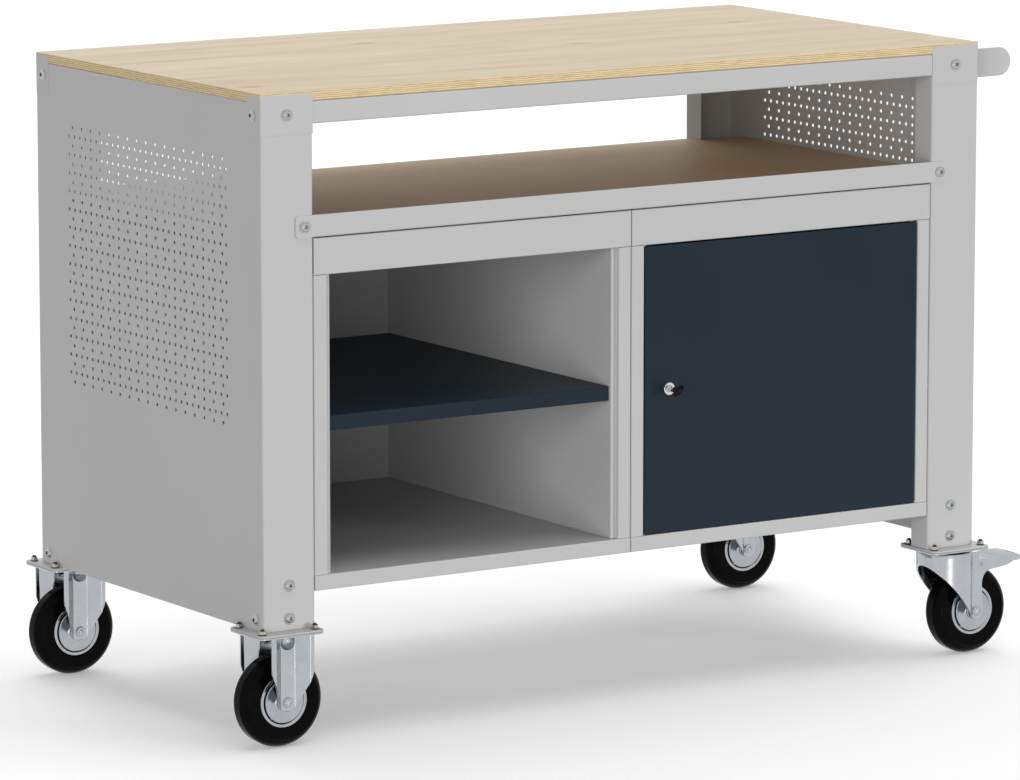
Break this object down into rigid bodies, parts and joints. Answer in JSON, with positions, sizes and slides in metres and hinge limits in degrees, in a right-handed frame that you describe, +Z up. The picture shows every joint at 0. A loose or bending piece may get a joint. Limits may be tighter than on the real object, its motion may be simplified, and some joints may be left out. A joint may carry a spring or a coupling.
{
  "type": "mobile workbench",
  "caption": "Mobile sheet-steel workbench with plywood top, perforated end walls, tray shelf, open cabinet, lockable cabinet, push handle, fixed and braked swivel castors.",
  "frame": {"origin": "on the floor, at the middle of the whole object's box", "axes": "+X along the bench towards the push handle, +Y from the front to the back, +Z up"},
  "size_m": [1.2868, 0.6546, 0.8676],
  "materials": {
    "grey_paint": "light grey powder coat, fine texture",
    "dark_paint": "anthracite powder coat, fine texture",
    "plywood": "oiled birch plywood",
    "zinc": "bright zinc plate",
    "chrome": "nickel chrome",
    "tyre": "solid black rubber",
    "key_plastic": "moulded black bow"
  },
  "bodies": {
    "frame": {"front_top_rail": "grey_paint", "rear_top_rail": "grey_paint", "left_side_panel": "grey_paint", "right_side_panel": "grey_paint", "tray_shelf": "grey_paint", "handle_front_cheek": "grey_paint", "handle_rear_cheek": "grey_paint", "handle_tube": "grey_paint", "front_left_post": "grey_paint", "front_left_bracket": "grey_paint", "front_left_foot": "grey_paint", "front_right_post": "grey_paint", "front_right_bracket": "grey_paint", "front_right_foot": "grey_paint", "rear_left_post": "grey_paint", "rear_left_bracket": "grey_paint", "rear_left_foot": "grey_paint", "rear_right_post": "grey_paint", "rear_right_bracket": "grey_paint", "rear_right_foot": "grey_paint", "left_cabinet_left_wall": "grey_paint", "left_cabinet_right_wall": "grey_paint", "left_cabinet_roof": "grey_paint", "left_cabinet_floor": "grey_paint", "left_cabinet_back": "grey_paint", "right_cabinet_left_wall": "grey_paint", "right_cabinet_right_wall": "grey_paint", "right_cabinet_roof": "grey_paint", "right_cabinet_floor": "grey_paint", "right_cabinet_back": "grey_paint", "left_cabinet_shelf": "dark_paint", "right_cabinet_shelf": "dark_paint", "worktop": "plywood", "front_left_fork": "zinc", "front_left_axle": "zinc", "rear_left_fork": "zinc", "rear_left_axle": "zinc", "front_right_swivel_plate": "zinc", "rear_right_swivel_plate": "zinc"},
    "door": {"door_panel": "dark_paint", "door_top_pin": "zinc", "door_bottom_pin": "zinc", "lock_housing": "chrome"},
    "lock": {"lock_plug": "chrome", "lock_cam": "zinc", "key": "key_plastic"},
    "front_left_wheel": {"front_left_rim": "zinc", "front_left_tyre": "tyre"},
    "front_right_wheel": {"front_right_rim": "zinc", "front_right_tyre": "tyre"},
    "rear_left_wheel": {"rear_left_rim": "zinc", "rear_left_tyre": "tyre"},
    "rear_right_wheel": {"rear_right_rim": "zinc", "rear_right_tyre": "tyre"},
    "front_right_swivel": {"front_right_fork": "zinc", "front_right_axle": "zinc"},
    "front_right_brake": {"front_right_brake_pedal": "zinc"},
    "rear_right_swivel": {"rear_right_fork": "zinc", "rear_right_axle": "zinc"},
    "rear_right_brake": {"rear_right_brake_pedal": "zinc"}
  },
  "joints": [
    {"name": "door_hinge", "type": "hinge", "parent": "frame", "child": "door", "pos_m": [0.44217, -0.2911, 0.42545], "axis": [0, 0, 1], "range_deg": [0, 105]},
    {"name": "lock_turn", "type": "hinge", "parent": "door", "child": "lock", "pos_m": [0.02812, -0.29385, 0.42545], "axis": [0, -1, 0], "range_deg": [0, 90]},
    {"name": "front_left_wheel_spin", "type": "hinge", "parent": "frame", "child": "front_left_wheel", "pos_m": [-0.58058, -0.27325, 0.0625], "axis": [0, 1, 0], "continuous": true},
    {"name": "front_right_swivel_turn", "type": "hinge", "parent": "frame", "child": "front_right_swivel", "pos_m": [0.51342, -0.27325, 0.145], "axis": [0, 0, 1], "continuous": true},
    {"name": "front_right_wheel_spin", "type": "hinge", "parent": "front_right_swivel", "child": "front_right_wheel", "pos_m": [0.55042, -0.27325, 0.0625], "axis": [0, 1, 0], "continuous": true},
    {"name": "front_right_brake_press", "type": "hinge", "parent": "front_right_swivel", "child": "front_right_brake", "pos_m": [0.56042, -0.27325, 0.128], "axis": [0, 1, 0], "range_deg": [0, 12]},
    {"name": "rear_left_wheel_spin", "type": "hinge", "parent": "frame", "child": "rear_left_wheel", "pos_m": [-0.58058, 0.28475, 0.0625], "axis": [0, 1, 0], "continuous": true},
    {"name": "rear_right_swivel_turn", "type": "hinge", "parent": "frame", "child": "rear_right_swivel", "pos_m": [0.51342, 0.28475, 0.145], "axis": [0, 0, 1], "continuous": true},
    {"name": "rear_right_wheel_spin", "type": "hinge", "parent": "rear_right_swivel", "child": "rear_right_wheel", "pos_m": [0.55042, 0.28475, 0.0625], "axis": [0, 1, 0], "continuous": true},
    {"name": "rear_right_brake_press", "type": "hinge", "parent": "rear_right_swivel", "child": "rear_right_brake", "pos_m": [0.56042, 0.28475, 0.128], "axis": [0, 1, 0], "range_deg": [0, 12]}
  ]
}
